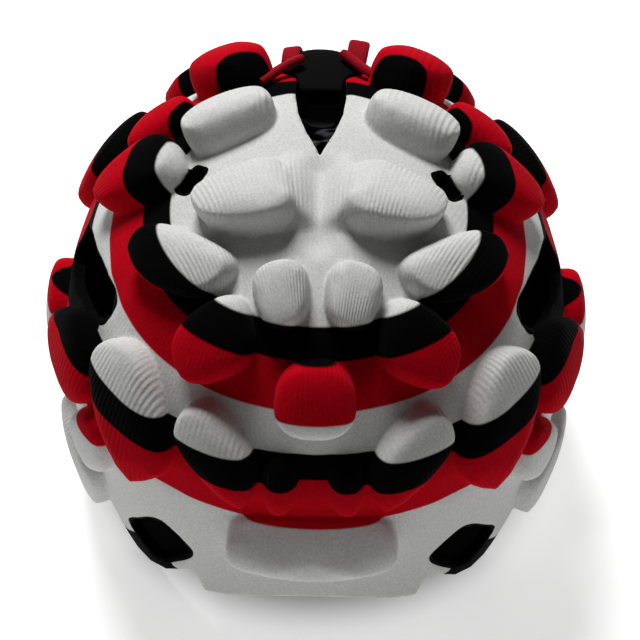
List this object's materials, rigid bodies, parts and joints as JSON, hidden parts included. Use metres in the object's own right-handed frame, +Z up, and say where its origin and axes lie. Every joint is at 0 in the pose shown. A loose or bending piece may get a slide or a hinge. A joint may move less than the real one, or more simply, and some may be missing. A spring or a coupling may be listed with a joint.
{
  "type": "protective head cap",
  "caption": "Soft padded sports head cap: raised foam pads on a knit-covered shell of five panels with vents, a crown slot with an elastic strap, and a black lining with gussets.",
  "frame": {"origin": "on the surface the cap stands on, under the middle of its box", "axes": "+Z up, -Y out of the brow, +X to the right as seen from the front"},
  "size_m": [0.1954, 0.2144, 0.1539],
  "materials": {
    "white_knit": "heathered stretch knit over foam, matte",
    "red_knit": "printed stretch knit over foam, matte",
    "black_knit": "printed stretch knit over foam, matte",
    "black_lining": "thin stretch lining, slight sheen",
    "black_elastic": "woven elastic, matte"
  },
  "bodies": {
    "root": {"crown_panel": "white_knit", "front_panel": "white_knit", "right_panel": "white_knit", "back_panel": "white_knit", "left_panel": "white_knit", "lining": "black_lining", "slot_gusset": "black_lining", "temple_gusset_right": "black_lining", "temple_gusset_left": "black_lining", "slot_strap": "black_elastic", "front_crown_pad_right": "white_knit", "front_crown_pad_left": "white_knit", "crown_pad_right": "white_knit", "crown_pad_left": "white_knit", "rear_crown_pad_right": "red_knit", "rear_crown_pad_left": "red_knit", "side_pad_right": "red_knit", "side_pad_left": "red_knit", "rear_side_pad_right": "red_knit", "rear_side_pad_left": "red_knit", "upper_temple_pad_right": "black_knit", "upper_temple_pad_left": "black_knit", "inner_forehead_pad_right": "white_knit", "inner_forehead_pad_left": "white_knit", "outer_forehead_pad_right": "red_knit", "outer_forehead_pad_left": "red_knit", "forehead_pad": "red_knit", "small_brow_pad_right": "red_knit", "small_brow_pad_left": "red_knit", "brow_pad": "white_knit", "leaf_pad_right": "black_knit", "leaf_pad_left": "black_knit", "temple_pad_right": "black_knit", "temple_pad_left": "black_knit", "ear_pad_right": "red_knit", "ear_pad_left": "red_knit", "lower_ear_pad_right": "white_knit", "lower_ear_pad_left": "white_knit", "flap_pad_right": "white_knit", "flap_pad_left": "white_knit", "rear_ear_pad_right": "white_knit", "rear_ear_pad_left": "white_knit", "behind_ear_pad_right": "white_knit", "behind_ear_pad_left": "white_knit", "back_side_pad_right": "red_knit", "back_side_pad_left": "red_knit", "upper_back_pad_right": "red_knit", "upper_back_pad_left": "red_knit", "lower_back_pad_right": "white_knit", "lower_back_pad_left": "white_knit", "nape_pad": "white_knit"}
  },
  "joints": []
}
